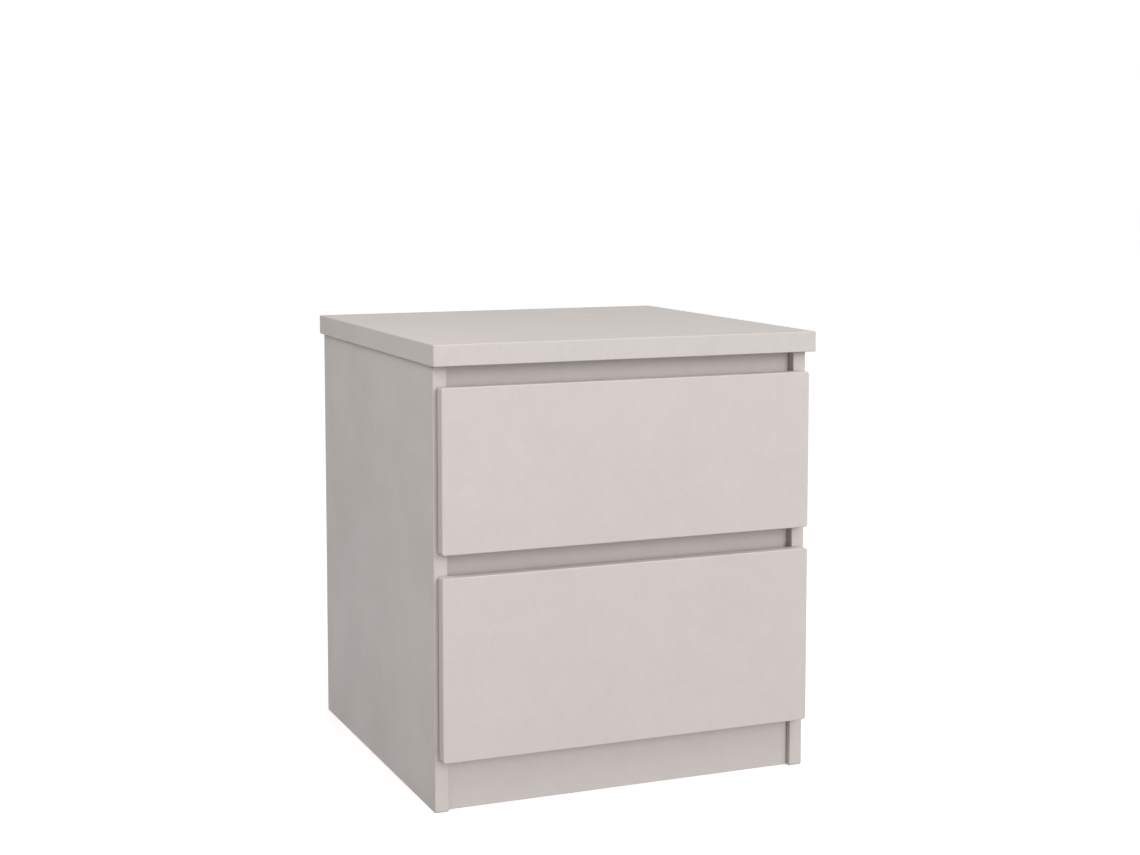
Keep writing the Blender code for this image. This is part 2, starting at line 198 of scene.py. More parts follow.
def stretched(tree, scale):
    """Object coordinates, multiplied by scale along each axis."""
    coords = node(tree, "ShaderNodeTexCoord").outputs["Object"]
    return node(tree, "ShaderNodeMapping", Vector=coords, Scale=scale).outputs["Vector"]


def noise(tree, scale, detail=2.0, roughness=0.5, stretch=(1, 1, 1), distortion=0.0):
    """Noise with about scale waves to a metre, times stretch along each axis."""
    made = node(
        tree,
        "ShaderNodeTexNoise",
        Vector=stretched(tree, stretch),
        Scale=scale,
        Detail=detail,
        Roughness=roughness,
        Distortion=distortion,
    )
    return made.outputs["Fac"]


def to_range(tree, value, low, high):
    """A noise's value, spread over low to high."""
    made = node(tree, "ShaderNodeMapRange", Value=value)
    made.inputs["From Min"].default_value = NOISE_LOW
    made.inputs["From Max"].default_value = NOISE_LOW + NOISE_SPAN
    made.inputs["To Min"].default_value = low
    made.inputs["To Max"].default_value = high
    return made.outputs["Result"]


def colours(tree, value, *stops):
    """A colour ramp over a noise's value, with the stops spread evenly over its range."""
    ramp = node(tree, "ShaderNodeValToRGB", Fac=value)
    elements = ramp.color_ramp.elements
    while len(elements) < len(stops):
        elements.new(0.5)
    for i, colour in enumerate(stops):
        elements[i].position = NOISE_LOW + NOISE_SPAN * i / (len(stops) - 1)
        elements[i].color = (*colour, 1)
    return ramp.outputs["Color"]


def shade(tree, colour, factor):
    """colour times a grey factor that varies over the surface."""
    made = node(tree, "ShaderNodeVectorMath", {"operation": "SCALE"}, Vector=colour, Scale=factor)
    return made.outputs["Vector"]


def bump(tree, shader, height, distance, strength, under=None):
    """Bumps as deep as distance, in metres, on top of another bump's normal if one is given."""
    made = node(tree, "ShaderNodeBump", Height=height, Strength=strength, Distance=distance)
    if under:
        tree.links.new(under, made.inputs["Normal"])
    tree.links.new(made.outputs["Normal"], shader.inputs["Normal"])
    return made.outputs["Normal"]


# ---- Materials ----------------------------------------------------------------------------------------
# The top board's foil is a copy of the board foil tinted less pink: a painted tint for how the light falls on
# the top face, not a different foil.
TOP_FOIL_PAINTED_LIGHT = (0.5695, 0.5275, 0.507)  # slightly less pink than the rest
FOIL = (0.579, 0.5275, 0.511)


def warm_grey_foil(name, red, green, blue):
    """Satin foil of the visible boards: faint mottling at every scale, fine pigment, a soft grain."""
    made, tree, shader = new_material(name, Specular_IOR_Level=0.42)
    dark = (red * 0.988, green * 0.991, blue * 0.990)
    light = (red * 1.011, green * 1.007, blue * 1.008)
    base = colours(tree, noise(tree, 7, 1.0), dark, (red, green, blue), light)
    mottling = to_range(tree, noise(tree, 20, 5.0, 1.0), 0.966, 1.034)
    pigment = to_range(tree, noise(tree, 1500, 1.0), 0.985, 1.015)
    tree.links.new(shade(tree, shade(tree, base, mottling), pigment), shader.inputs["Base Color"])
    tree.links.new(to_range(tree, noise(tree, 11, 2.0), 0.46, 0.56), shader.inputs["Roughness"])
    waviness = bump(tree, shader, noise(tree, 26, 1.0), 0.00005, 0.5)
    bump(tree, shader, noise(tree, 950, 2.0, 0.6), 0.00003, 0.5, waviness)
    return made


def box_foil():
    """Light foil of the drawer boxes, printed with fine fibres along the boards."""
    made, tree, shader = new_material("box_foil", Specular_IOR_Level=0.4)
    fibres = noise(tree, 60, 3.0, 0.6, stretch=(1, 0.25, 6))
    base = colours(tree, fibres, (0.640, 0.615, 0.580), (0.700, 0.678, 0.645))
    pigment = to_range(tree, noise(tree, 900, 2.0), 0.975, 1.02)
    tree.links.new(shade(tree, base, pigment), shader.inputs["Base Color"])
    tree.links.new(to_range(tree, noise(tree, 14), 0.48, 0.60), shader.inputs["Roughness"])
    bump(tree, shader, fibres, 0.00004, 0.5)
    return made


def box_sheet():
    """Painted sheet of the drawer bottoms: a fine linen print, slightly worn to a sheen."""
    made, tree, shader = new_material("box_sheet", Specular_IOR_Level=0.38)
    warp = noise(tree, 420, 2.0, 0.5, stretch=(1, 0.12, 1))
    weft = noise(tree, 420, 2.0, 0.5, stretch=(0.12, 1, 1))
    crossed = node(tree, "ShaderNodeMath", {"operation": "ADD"})
    tree.links.new(warp, crossed.inputs[0])
    tree.links.new(weft, crossed.inputs[1])
    halved = node(tree, "ShaderNodeMath", {"operation": "MULTIPLY"})
    tree.links.new(crossed.outputs[0], halved.inputs[0])
    halved.inputs[1].default_value = 0.5
    weave = halved.outputs[0]
    base = colours(tree, weave, (0.620, 0.598, 0.562), (0.735, 0.715, 0.680))
    tree.links.new(base, shader.inputs["Base Color"])
    tree.links.new(to_range(tree, noise(tree, 9), 0.50, 0.64), shader.inputs["Roughness"])
    bump(tree, shader, weave, 0.00005, 0.6)
    return made


def raw_fibreboard():
    """Brown unpainted back of the back panel: pressed fibres, light and dark flecks."""
    made, tree, shader = new_material("raw_fibreboard", Specular_IOR_Level=0.25)
    fibres = noise(tree, 260, 5.0, 0.7, stretch=(1, 1, 0.45), distortion=1.2)
    base = colours(tree, fibres, (0.190, 0.118, 0.068), (0.300, 0.200, 0.122), (0.400, 0.285, 0.185))
    patches = to_range(tree, noise(tree, 5, 3.0), 0.90, 1.08)
    tree.links.new(shade(tree, base, patches), shader.inputs["Base Color"])
    tree.links.new(to_range(tree, fibres, 0.66, 0.82), shader.inputs["Roughness"])
    bump(tree, shader, fibres, 0.00012, 0.8)
    return made


def painted_sheet():
    """Painted inner face of the back panel."""
    made, tree, shader = new_material("painted_sheet", Specular_IOR_Level=0.35)
    base = colours(tree, noise(tree, 12, 3.0), (0.560, 0.527, 0.500), (0.600, 0.560, 0.535))
    pigment = to_range(tree, noise(tree, 700, 2.0), 0.97, 1.02)
    tree.links.new(shade(tree, base, pigment), shader.inputs["Base Color"])
    tree.links.new(to_range(tree, noise(tree, 22), 0.58, 0.70), shader.inputs["Roughness"])
    bump(tree, shader, noise(tree, 500, 2.0), 0.00005, 0.5)
    return made


def enamelled_steel():
    """White epoxy coating over folded steel, with a slight orange peel."""
    made, tree, shader = new_material(
        "enamelled_steel", Specular_IOR_Level=0.5, Coat_Weight=0.15, Coat_Roughness=0.2
    )
    base = colours(tree, noise(tree, 60, 3.0), (0.745, 0.745, 0.725), (0.800, 0.800, 0.782))
    tree.links.new(base, shader.inputs["Base Color"])
    tree.links.new(to_range(tree, noise(tree, 90, 2.0), 0.30, 0.42), shader.inputs["Roughness"])
    bump(tree, shader, noise(tree, 520, 1.0), 0.00006, 0.6)
    return made


def tumbled_zinc():
    """Bright zinc, tumbled: fine scratches one way and blotchy dulling."""
    made, tree, shader = new_material("tumbled_zinc", Metallic=1.0)
    dulling = noise(tree, 240, 3.0, 0.6)
    base = colours(tree, dulling, (0.54, 0.54, 0.555), (0.70, 0.70, 0.715))
    tree.links.new(base, shader.inputs["Base Color"])
    scratches = noise(tree, 1600, 3.0, 0.6, stretch=(0.2, 1, 1))
    tree.links.new(to_range(tree, scratches, 0.26, 0.46), shader.inputs["Roughness"])
    bump(tree, shader, scratches, 0.00003, 0.6)
    return made


def natural_nylon():
    """Milky nylon of the rollers, slightly see-through at its edges."""
    made, tree, shader = new_material(
        "natural_nylon", Subsurface_Weight=0.12, Subsurface_Scale=0.002, Specular_IOR_Level=0.45
    )
    base = colours(tree, noise(tree, 130, 2.0), (0.735, 0.730, 0.690), (0.795, 0.790, 0.755))
    tree.links.new(base, shader.inputs["Base Color"])
    tree.links.new(to_range(tree, noise(tree, 300, 2.0), 0.34, 0.48), shader.inputs["Roughness"])
    bump(tree, shader, noise(tree, 1200, 1.0), 0.00003, 0.5)
    return made


def bumper_gel():
    """Milky soft plastic of the self-adhesive bumpers."""
    made, tree, shader = new_material(
        "bumper_gel", Subsurface_Weight=0.35, Subsurface_Scale=0.003, Specular_IOR_Level=0.5
    )
    base = colours(tree, noise(tree, 400, 2.0), (0.660, 0.655, 0.625), (0.730, 0.725, 0.700))
    tree.links.new(base, shader.inputs["Base Color"])
    tree.links.new(to_range(tree, noise(tree, 600, 1.0), 0.28, 0.40), shader.inputs["Roughness"])
    bump(tree, shader, noise(tree, 900, 1.0), 0.00002, 0.4)
    return made


def pale_floor():
    """White floor that takes a faint shadow."""
    made, tree, shader = new_material("pale_floor", Roughness=0.8, Specular_IOR_Level=0.1)
    base = colours(tree, noise(tree, 2.5, 2.0), (0.950, 0.948, 0.945), (0.960, 0.958, 0.955))
    tree.links.new(base, shader.inputs["Base Color"])
    shader.inputs["Emission Color"].default_value = (1, 1, 1, 1)
    shader.inputs["Emission Strength"].default_value = FLOOR_GLOW
    return made


def white_backdrop():
    """Even white behind the object, as bright as the lit floor."""
    made, _, shader = new_material("white_backdrop", Roughness=1.0, Specular_IOR_Level=0.0)
    shader.inputs["Base Color"].default_value = (0, 0, 0, 1)
    shader.inputs["Emission Color"].default_value = (1, 1, 1, 1)
    shader.inputs["Emission Strength"].default_value = 1.0
    return made


# ---- Mesh helpers -------------------------------------------------------------------------------------
def to_mesh(name, bm):
    bmesh.ops.recalc_face_normals(bm, faces=bm.faces)
    mesh = bpy.data.meshes.new(name)
    bm.to_mesh(mesh)
    bm.free()
    return mesh


def close_rings(bm, rings, wrap=True):
    """Faces between successive rings of as many points; a ring of one point is a pole."""
    for lower, upper in zip(rings, rings[1:]):
        count = max(len(lower), len(upper))
        for i in range(count if wrap else count - 1):
            j = (i + 1) % count
            corners = [lower[i % len(lower)], lower[j % len(lower)]]
            corners += [upper[j % len(upper)], upper[i % len(upper)]]
            bm.faces.new(list(dict.fromkeys(corners)))


def rounded_rectangle(half_u, half_v, radius):
    """Points round a rectangle about 0, 0 with round corners."""
    points = []
    for quarter, (side_u, side_v) in enumerate(((1, 1), (-1, 1), (-1, -1), (1, -1))):
        for step in range(CORNER_STEPS + 1):
            angle = math.pi / 2 * (quarter + step / CORNER_STEPS)
            u = side_u * (half_u - radius) + radius * math.cos(angle)
            v = side_v * (half_v - radius) + radius * math.sin(angle)
            points.append((u, v))
    return points


def board_mesh(name, low, high, arris=ARRIS, corner=CORNER, seam=False):
    """A board between two corners, with rounded arrises and corners, and the glue line of its edge band."""
    centre, size = (low + high) / 2, high - low
    thin = min((X, Y, Z), key=lambda axis: size[axis])
    across, along = (thin + 1) % 3, (thin + 2) % 3
    half = size[thin] / 2
    section = []
    for step in range(ARRIS_STEPS + 1):
        angle = math.pi / 2 * step / ARRIS_STEPS
        section.append((arris * (1 - math.cos(angle)), half - arris * (1 - math.sin(angle))))
    if seam:
        section += [(SEAM_IN - SEAM_WIDTH / 2, half), (SEAM_IN, half - SEAM_DEPTH)]
        section += [(SEAM_IN + SEAM_WIDTH / 2, half)]
    section = [(inset, -height) for inset, height in reversed(section)] + section

    bm = bmesh.new()
    rings = []
    for inset, height in section:
        outline = rounded_rectangle(
            size[across] / 2 - inset, size[along] / 2 - inset, max(corner - inset, LEAST_CORNER)
        )
        ring = []
        for u, v in outline:
            point = centre.copy()
            point[across] += u
            point[along] += v
            point[thin] += height
            ring.append(bm.verts.new(point))
        rings.append(ring)
    close_rings(bm, rings)
    bm.faces.new(rings[0])
    bm.faces.new(rings[-1])
    return to_mesh(name, bm)


def block_mesh(name, low, high):
    """A plain box, for cutting."""
    bm = bmesh.new()
    bmesh.ops.create_cube(bm, size=1.0)
    bmesh.ops.scale(bm, vec=high - low, verts=bm.verts)
    bmesh.ops.translate(bm, vec=(low + high) / 2, verts=bm.verts)
    return to_mesh(name, bm)


def turned_mesh(name, profile, axis, centre, direction=1, steps=TURN_STEPS):
    """A solid turned round an axis through centre. profile is (distance along the axis, radius) points; one
    that starts off the axis is closed into a ring."""
    bm = bmesh.new()
    rings = []
    for distance, radius in profile:
        ring = []
        for i in range(steps if radius > 0 else 1):
            angle = 2 * math.pi * i / steps
            point = Vector(centre)
            point[axis] += direction * distance
            point[(axis + 1) % 3] += radius * math.cos(angle)
            point[(axis + 2) % 3] += radius * math.sin(angle)
            ring.append(bm.verts.new(point))
        rings.append(ring)
    if profile[0][1] > 0:
        rings.append(rings[0])
    close_rings(bm, rings)
    return to_mesh(name, bm)


def joined(name, meshes):
    """One mesh that holds several separate solids."""
    bm = bmesh.new()
    for mesh in meshes:
        bm.from_mesh(mesh)
    return to_mesh(name, bm)


def carved(mesh, *cutters):
    """mesh less each cutter."""
    body = bpy.data.objects.new("carving", mesh)
    scene.collection.objects.link(body)
    helpers = [body]
    for cutter in cutters:
        helper = bpy.data.objects.new("cutter", cutter)
        scene.collection.objects.link(helper)
        helpers.append(helper)
        cut = body.modifiers.new("cut", "BOOLEAN")
        cut.operation = "DIFFERENCE"
        cut.solver = "EXACT"
        cut.object = helper
    depsgraph = bpy.context.evaluated_depsgraph_get()
    result = bpy.data.meshes.new_from_object(body.evaluated_get(depsgraph))
    for helper in helpers:
        bpy.data.objects.remove(helper)
    return result


def show(name, mesh, material, body, slot, *nodes):
    """A visible piece that rides on a body and stands for the CAD nodes named."""
    mesh.materials.clear()
    mesh.materials.append(material)
    mesh.shade_smooth()
    mesh.set_sharp_from_angle(angle=math.radians(SHARP_ANGLE))
    piece = bpy.data.objects.new(name, mesh)
    scene.collection.objects.link(piece)
    evening = piece.modifiers.new("weighted_normals", "WEIGHTED_NORMAL")
    evening.keep_sharp = True
    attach(piece, body)
    if nodes:
        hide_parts(*nodes)
    return piece


def show_for(node_name, mesh, material):
    """The visible piece of one CAD node, on that node's body."""
    slot = SLOT_OF[node_name]
    body = BODY_OF[node_name]
    return show(f"{node_name}_finish", mesh, material, body, slot, node_name)


def grown_box(node_name):
    """A node's box with room to fit round it."""
    low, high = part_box(node_name)
    margin = Vector((FIT, FIT, FIT))
    return low - margin, high + margin


def box_centre(node_name):
    low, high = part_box(node_name)
    return (low + high) / 2


# ---- Boards -------------------------------------------------------------------------------------------
def cam_bore(cam_node, side):
    """The blind bore of a cam disc, open through the board's inner face."""
    low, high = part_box(cam_node)
    centre = (low + high) / 2
    radius = (high.z - low.z) / 2 + FIT
    depth = (high.x - low.x) / 2 + FIT
    past_face = 0.002
    mouth = depth + past_face
    profile = [(-depth, 0), (-depth, radius), (mouth, radius), (mouth, 0)]
    return turned_mesh("cam_bore", profile, X, centre, -side)


def bolt_bore(bolt_node, clearance):
    """The bore that a cam bolt lies in."""
    low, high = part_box(bolt_node)
    radius = (high.z - low.z) / 2 + clearance
    reach = (high.y - low.y) / 2 + clearance
    profile = [(-reach, 0), (-reach, radius), (reach, radius), (reach, 0)]
    return turned_mesh("bolt_bore", profile, Y, (low + high) / 2)


def carcass_boards(top_foil_painted_light, foil):
    show_for("top_panel", board_mesh("top_panel", *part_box("top_panel"), seam=True), top_foil_painted_light)
    for hand, side in HANDS.items():
        panel = board_mesh(hand, *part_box(f"{hand}_side_panel"), seam=True)
        cams = [cam_bore(f"{hand}_{end}_top_cam", side) for end in ("front", "rear")]
        show_for(f"{hand}_side_panel", carved(panel, *cams), foil)
    for rail in ("upper_front_rail", "middle_front_rail", "plinth", "upper_rear_rail", "lower_rear_rail"):
        mesh = board_mesh(rail, *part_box(rail), arris=SMALL_ARRIS, corner=RAIL_CORNER, seam=True)
        show_for(rail, mesh, foil)


def drawer_boards(level, foil, box_board, sheet):
    bottom = block_mesh("groove", *grown_box(f"{level}_drawer_bottom"))
    front = board_mesh("front", *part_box(f"{level}_drawer_front"), corner=FRONT_CORNER, seam=True)
    bolts = [bolt_bore(f"{level}_drawer_{hand}_cam_bolt", BOLT_FIT) for hand in HANDS]
    show_for(f"{level}_drawer_front", carved(front, bottom.copy(), *bolts), foil)
    for hand, side in HANDS.items():
        name = f"{level}_drawer_{hand}_side"
        panel = board_mesh(name, *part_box(name), arris=SMALL_ARRIS, corner=BOX_CORNER)
        cutters = [bottom.copy(), cam_bore(f"{level}_drawer_{hand}_cam", side)]
        cutters.append(bolt_bore(f"{level}_drawer_{hand}_cam_bolt", BOLT_ROOM))
        show_for(name, carved(panel, *cutters), box_board)
    name = f"{level}_drawer_back"
    show_for(name, board_mesh(name, *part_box(name), arris=SMALL_ARRIS, corner=BOX_CORNER), box_board)
    name = f"{level}_drawer_bottom"
    show_for(name, board_mesh(name, *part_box(name), arris=SHEET_ARRIS, corner=BOX_CORNER), sheet)


def back_panel(raw, painted, zinc):
    """Two leaves of fibreboard on a fold, painted inside and raw outside, nailed round its edges."""
    low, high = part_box("back_panel")
    groove, overrun = 0.0011, 0.01
    start, end = low.z - overrun, high.z + overrun
    profile = [(start, 0), (start, groove), (end, groove), (end, 0)]
    fold = turned_mesh("fold", profile, Z, (0, high.y, 0), steps=4)
    mesh = carved(board_mesh("back_panel", low, high, arris=SHEET_ARRIS, corner=BOX_CORNER), fold)
    piece = show_for("back_panel", mesh, raw)
    piece.data.materials.append(painted)
    facing_inwards = -0.5
    for face in piece.data.polygons:
        if face.normal.y < facing_inwards:
            face.material_index = 1
    show("back_panel_nails", nails(low, high), zinc, "cabinet", "zinc_fittings")


def nails(low, high):
    """Nails through the back panel, whose box is given: a column in each side, a row in each rear rail."""
    column, row = 7, 4
    column_end, row_share, above_lower_rail = 0.030, 0.72, 0.012
    profile = [(-0.0020, 0), (-0.0020, 0.0007), (0.0001, 0.0007), (0.0001, 0.0017), (0.0004, 0.0020)]
    profile += [(0.0007, 0.0016), (0.0008, 0.0008), (0.0008, 0)]
    edge_x = box_centre("left_side_panel").x
    places = []
    for i in range(column):
        z = low.z + column_end + (high.z - low.z - 2 * column_end) * i / (column - 1)
        places += [(edge_x, z), (-edge_x, z)]
    for i in range(row):
        x = -edge_x * row_share * (2 * i / (row - 1) - 1)
        places.append((x, box_centre("upper_rear_rail").z))
        places.append((x, box_centre("lower_rear_rail").z + above_lower_rail))
    heads = [turned_mesh("nail", profile, Y, (x, high.y, z), steps=20) for x, z in places]
    return joined("nails", heads)


# ---- Fittings -----------------------------------------------------------------------------------------
def folded_strip(name, path, start_y, end_y, place):
    """Steel sheet along Y, folded along path with round bends; place turns a path point into X and Z."""
    path = [Vector(point) for point in path]
    stations = []
    for i, point in enumerate(path):
        into = (point - path[i - 1]).normalized() if i else None
        out = (path[i + 1] - point).normalized() if i + 1 < len(path) else None
        if into is None or out is None:
            run = into or out
            stations.append((point, Vector((-run.y, run.x))))
            continue
        turn = math.atan2(into.cross(out), into.dot(out))
        reach = BEND * math.tan(abs(turn) / 2)
        normal = Vector((-into.y, into.x))
        centre = point - into * reach + normal * math.copysign(BEND, turn)
        for step in range(BEND_STEPS + 1):
            turned = Matrix.Rotation(turn * step / BEND_STEPS, 2) @ normal
            stations.append((centre - turned * math.copysign(BEND, turn), turned))

    bm = bmesh.new()
    sides = []
    for offset in (STEEL / 2, -STEEL / 2):
        for y in (start_y, end_y):
            points = [place(point + normal * offset) for point, normal in stations]
            sides.append([bm.verts.new((x, y, z)) for x, z in points])
    upper_start, upper_end, lower_start, lower_end = sides
    loops = (upper_start, upper_end, lower_end, lower_start, upper_start)
    close_rings(bm, loops, wrap=False)
    bm.faces.new([loop[0] for loop in loops[:4]])
    bm.faces.new([loop[-1] for loop in loops[:4]])
    return to_mesh(name, bm)


def cross_recess(centre, axis, reach, width, depth):
    """A cutter for a cross-shaped driver recess in a head whose face is at centre."""
    cutters = []
    for wide in ((axis + 1) % 3, (axis + 2) % 3):
        half = Vector((0, 0, 0))
        half[(axis + 1) % 3] = width / 2
        half[(axis + 2) % 3] = width / 2
        half[wide] = reach / 2
        half[axis] = depth
        cutters.append(block_mesh("recess", Vector(centre) - half, Vector(centre) + half))
    return cutters


def screw_mesh(centre, axis, direction):
    """A low countersunk screw with a cross recess; centre is on the sheet's face, direction is outwards."""
    top = 0.0008  # of the head, above the sheet
    recess_reach, recess_width, recess_depth = 0.0036, 0.0008, 0.0009
    profile = [(-0.0090, 0), (-0.0075, 0.0011), (-0.0010, 0.0016), (0.0, 0.0032)]
    profile += [(0.0003, 0.0033), (0.0006, 0.0027), (top, 0.0014), (top, 0)]
    head = turned_mesh("screw", profile, axis, (0, 0, 0), direction, steps=32)
    face = Vector((0, 0, 0))
    face[axis] = direction * top
    bm = bmesh.new()
    bm.from_mesh(carved(head, *cross_recess(face, axis, recess_reach, recess_width, recess_depth)))
    bmesh.ops.dissolve_degenerate(bm, dist=0.000005, edges=bm.edges)  # slivers that the cut leaves
    bmesh.ops.translate(bm, vec=centre, verts=bm.verts)
    return to_mesh("screw", bm)


def cabinet_runner(level, hand, side, steel, zinc):
    """Channel on the side panel, with its track below, its guide above and a mouth cut in the guide."""
    name = f"{level}_{hand}_cabinet_runner"
    low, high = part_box(name)
    panel_side = high.x if side > 0 else low.x
    width, height = high.x - low.x, high.z - low.z
    half = STEEL / 2
    guide_reach, guide_lip, track_lip, hole_height = 0.0078, 0.0030, 0.0046, 0.0112
    path = [(width - half, track_lip), (width - half, half), (half, half), (half, height - half)]
    path += [(guide_reach - half, height - half), (guide_reach - half, height - guide_lip)]

    def place(point):
        return panel_side - side * point.x, low.z + point.y

    web_x, hole_z = panel_side - side * STEEL, low.z + hole_height
    slot_places = (low.y + 0.060, low.y + 0.180, high.y - 0.075)
    screw_places = (low.y + 0.034, low.y + 0.128, high.y - 0.034)
    channel = folded_strip(name, path, low.y, high.y, place)
    slots = [runner_slot(Vector((web_x, y, hole_z))) for y in slot_places]
    cut_channel = carved(channel, guide_mouth(low, high, panel_side, side), *slots)
    stop = runner_stop(level, hand, low, panel_side, side)
    show_for(name, joined(name, [cut_channel, stop]), steel)
    screws = [screw_mesh((web_x, y, hole_z), X, -side) for y in screw_places]
    show(f"{name}_screws", joined("screws", screws), zinc, "cabinet", "zinc_fittings")


def runner_slot(centre):
    """A cutter for an unused screw hole, a slot along Y through the sheet."""
    half = Vector((0.0020, 0.0058, 0.0022))
    return board_mesh("slot", centre - half, centre + half, arris=0.0001, corner=0.0020)


def guide_mouth(low, high, panel_side, side):
    """A cutter for the gap in a channel's guide, where the drawer's roller is let in."""
    left, right = sorted((panel_side - side * 0.0045, panel_side - side * 0.012))
    front, rear = low.y + 0.022, low.y + 0.042
    bottom, top = high.z - 0.006, high.z + 0.002
    return block_mesh("mouth", Vector((left, front, bottom)), Vector((right, rear, top)))


def runner_stop(level, hand, low, panel_side, side):
    """The bent stop on the track, where the drawer's roller meets it at full reach."""
    thick, gap = 0.0015, 0.0005
    bottom, top = 0.0006, 0.0042  # above the channel's lowest edge
    left, right = sorted((panel_side - side * 0.0038, panel_side - side * 0.0078))
    roller_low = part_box(f"{level}_drawer_{hand}_runner_roller")[0]
    stop_y = roller_low.y - slide_travel(level) - gap
    stop_low = Vector((left, stop_y - thick, low.z + bottom))
    stop_high = Vector((right, stop_y, low.z + top))
    return board_mesh("stop", stop_low, stop_high, arris=0.0003, corner=0.0008)


def slide_travel(level):
    """How far a drawer opens, in metres."""
    joints = frame["record"]["behaviour"]["joints"]
    return next(j["range_m"][1] for j in joints if j["name"] == f"{level}_drawer_slide")


def drawer_runner(level, hand, side, steel, zinc):
    """Angle under the drawer side; its flange rolls on the cabinet's front roller."""
    name = f"{level}_drawer_{hand}_runner"
    low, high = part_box(name)
    outer = high.x if side > 0 else low.x
    width, height = high.x - low.x, high.z - low.z
    half = STEEL / 2
    web = 0.0086
    path = [(width, half), (web, half), (web, height - half), (0, height - half)]

    def place(point):
        return outer - side * point.x, low.z + point.y

    show_for(name, folded_strip(name, path, low.y, high.y, place), steel)
    screw_x = outer - side * (web + width) / 2
    screw_places = (low.y + 0.030, low.y + 0.190, high.y - 0.030)
    screws = [screw_mesh((screw_x, y, low.z), Z, -1) for y in screw_places]
    show(f"{name}_screws", joined("screws", screws), zinc, f"{level}_drawer", "zinc_fittings")


def back_screws(level, hand, side, zinc):
    """Two screws through a drawer side into the end of the drawer back."""
    back_low, back_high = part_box(f"{level}_drawer_back")
    side_low, side_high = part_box(f"{level}_drawer_{hand}_side")
    face_x = side_high.x if side > 0 else side_low.x
    y = (back_low.y + back_high.y) / 2
    screws = []
    for height_share in (0.25, 0.75):
        z = back_low.z + height_share * (back_high.z - back_low.z)
        screws.append(screw_mesh((face_x, y, z), X, side))
    name = f"{level}_drawer_{hand}_back_screws"
    show(name, joined("screws", screws), zinc, f"{level}_drawer", "zinc_fittings")


def roller(node_name, nylon):
    """Nylon roller: round shoulders, a shallow recess in each face, a bore for its pin."""
    low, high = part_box(node_name)
    half, radius = (high.x - low.x) / 2, (high.z - low.z) / 2
    bore, hub, rim = 0.0026, 0.0042, 0.0060
    recess, slope = 0.0007, 0.0005
    shoulder, shoulder_middle = 0.0009, 0.00027
    face = [(half, bore), (half, hub), (half - recess, hub + slope), (half - recess, rim - slope)]
    face += [(half, rim), (half, radius - shoulder)]
    face += [(half - shoulder_middle, radius - shoulder_middle), (half - shoulder, radius)]
    profile = face + [(-distance, r) for distance, r in reversed(face)]
    show_for(node_name, turned_mesh(node_name, profile, X, (low + high) / 2), nylon)


def roller_pin(node_name, head_side, zinc):
    """Riveted pin: the CAD node's length and radii, with a domed head towards head_side."""
    low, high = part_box(node_name)
    centre = (low + high) / 2
    length = high.x - low.x
    shank, chamfer = 0.0025, 0.0003
    head, thick, undercut = (high.z - low.z) / 2, 0.0008, 0.0002
    profile = [(0, 0), (0, shank - chamfer), (chamfer, shank), (length - thick, shank)]
    profile += [(length - thick, head - undercut), (length - thick / 2, head)]
    profile += [(length - thick * 0.2, head * 0.72), (length, head * 0.4), (length, 0)]
    start = centre.copy()
    start.x -= head_side * length / 2
    show_for(node_name, turned_mesh(node_name, profile, X, start, head_side), zinc)


def cam_disc(node_name, side, zinc):
    """Cam let into a board's inner face: chamfered disc with a cross recess, hollow behind its face."""
    face, wall = 0.0022, 0.0012
    chamfer_in, chamfer_down = 0.0006, 0.0005
    recess_reach, recess_width, recess_depth = 0.0062, 0.0014, 0.0015
    low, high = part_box(node_name)
    radius, depth = (high.z - low.z) / 2, high.x - low.x
    centre = (low + high) / 2
    profile = [(0, 0), (0, radius - chamfer_in), (chamfer_down, radius), (depth, radius)]
    profile += [(depth, radius - wall), (face, radius - wall), (face, 0)]
    start = Vector((low.x if side > 0 else high.x, centre.y, centre.z))
    disc = turned_mesh(node_name, profile, X, start, side)
    recess = cross_recess(start, X, recess_reach, recess_width, recess_depth)
    show_for(node_name, carved(disc, *recess), zinc)


def cam_bolt(node_name, zinc):
    """Threaded into the drawer front, with a collar, a neck and a head that the cam draws back."""
    low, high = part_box(node_name)
    centre = (low + high) / 2
    length, thread = high.y - low.y, 0.0110
    pitch, root, crest, lead = 0.0016, 0.0019, 0.0025, 0.0004
    collar, shank, neck, head = 0.0035, 0.0022, 0.0018, 0.0033
    profile = [(0, 0), (0.0002, 0.0012)]
    for i in range(int(thread / pitch)):
        profile += [(lead + pitch * i, root), (lead + pitch * (i + 0.5), crest)]
    profile += [(thread, root), (thread + 0.0003, collar), (thread + 0.0020, collar)]
    profile += [(thread + 0.0024, shank), (length - 0.0070, shank)]
    profile += [(length - 0.0066, neck), (length - 0.0032, neck)]
    profile += [(length - 0.0030, head), (length - 0.0006, head), (length, head - 0.0008), (length, 0)]
    start = Vector((centre.x, low.y, centre.z))
    show_for(node_name, turned_mesh(node_name, profile, Y, start, steps=32), zinc)


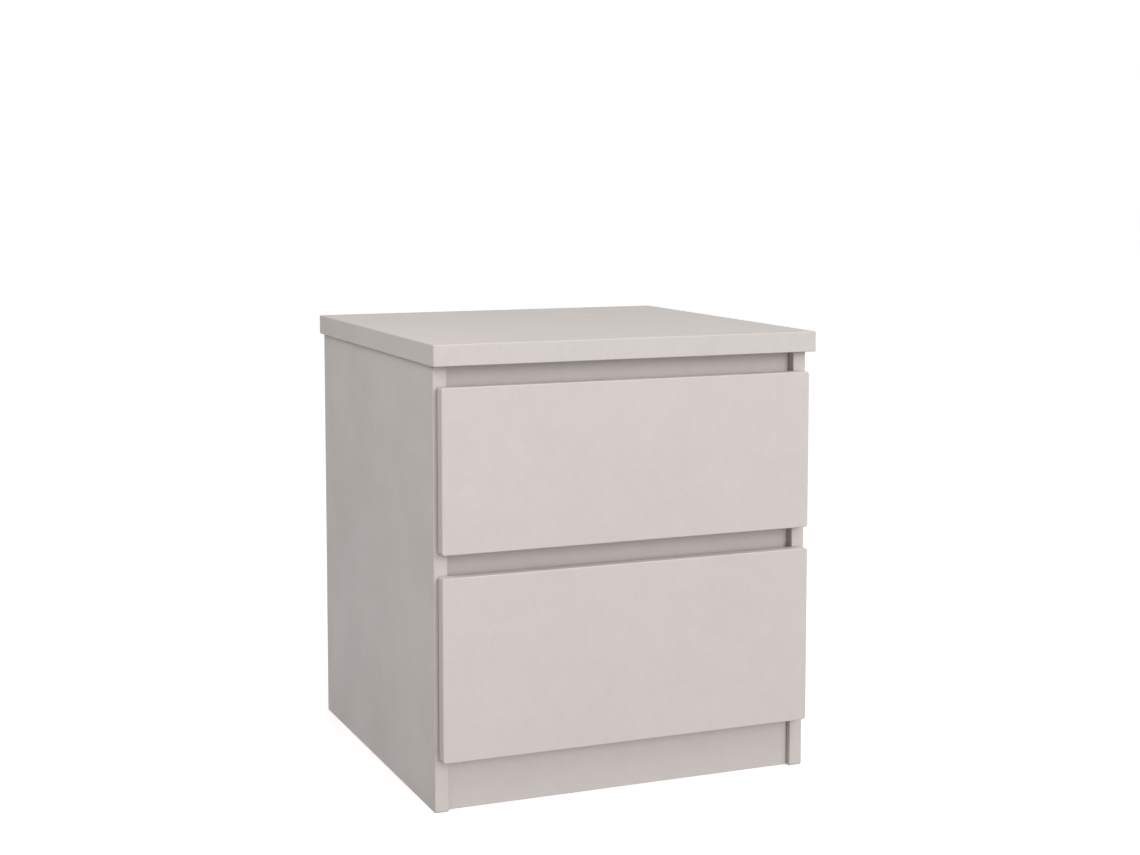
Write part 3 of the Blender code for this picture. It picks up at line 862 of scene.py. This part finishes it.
def bumper(node_name, gel):
    """Self-adhesive bumper: a flat disc with a domed face towards the cabinet."""
    low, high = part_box(node_name)
    centre = (low + high) / 2
    radius, thick = (high.z - low.z) / 2, high.y - low.y
    foot, flat = 0.25, 0.45  # shares of the height below the dome, and of the radius on top of it
    steps = 6
    profile = [(0, 0), (0, radius)]
    for step in range(steps + 1):
        angle = math.pi / 2 * step / steps
        height = thick * (foot + (1 - foot) * math.sin(angle))
        profile.append((height, radius * (flat + (1 - flat) * math.cos(angle))))
    profile.append((thick, 0))
    start = Vector((centre.x, low.y, centre.z))
    show_for(node_name, turned_mesh(node_name, profile, Y, start, steps=40), gel)


# ---- Making everything --------------------------------------------------------------------------------
def add_stage():
    """The floor, and a dome of backdrop round it that only the camera sees."""
    bm = bmesh.new()
    bmesh.ops.create_grid(bm, x_segments=8, y_segments=8, size=FLOOR_HALF)
    floor = bpy.data.objects.new("floor", to_mesh("floor", bm))
    floor.data.materials.append(pale_floor())
    floor.visible_diffuse = False

    bm = bmesh.new()
    bmesh.ops.create_icosphere(bm, subdivisions=4, radius=DOME_RADIUS)
    dome = bpy.data.objects.new("backdrop", to_mesh("backdrop", bm))
    dome.data.materials.append(white_backdrop())
    dome.visible_diffuse = dome.visible_glossy = dome.visible_transmission = False
    dome.visible_shadow = dome.visible_volume_scatter = False
    for piece in (floor, dome):
        scene.collection.objects.link(piece)


def main():
    add_camera()
    add_light()
    add_stage()
    # The top board gets the copy of the foil tinted for the light on the top face: painted light.
    top_foil_painted_light = warm_grey_foil("top_foil_painted_light", *TOP_FOIL_PAINTED_LIGHT)
    foil = warm_grey_foil("warm_grey_foil", *FOIL)
    box_board, sheet = box_foil(), box_sheet()
    steel, zinc, nylon, gel = enamelled_steel(), tumbled_zinc(), natural_nylon(), bumper_gel()
    carcass_boards(top_foil_painted_light, foil)
    back_panel(raw_fibreboard(), painted_sheet(), zinc)
    for hand, side in HANDS.items():
        for end in ("front", "rear"):
            cam_disc(f"{hand}_{end}_top_cam", side, zinc)
    for level in LEVELS:
        drawer_boards(level, foil, box_board, sheet)
        for hand, side in HANDS.items():
            cabinet_runner(level, hand, side, steel, zinc)
            drawer_runner(level, hand, side, steel, zinc)
            pin_heads = {f"{level}_{hand}_cabinet_runner": -side, f"{level}_drawer_{hand}_runner": side}
            for runner, head_side in pin_heads.items():
                roller(f"{runner}_roller", nylon)
                roller_pin(f"{runner}_roller_pin", head_side, zinc)
            back_screws(level, hand, side, zinc)
            cam_disc(f"{level}_drawer_{hand}_cam", side, zinc)
            cam_bolt(f"{level}_drawer_{hand}_cam_bolt", zinc)
            bumper(f"{level}_drawer_{hand}_bumper", gel)


main()
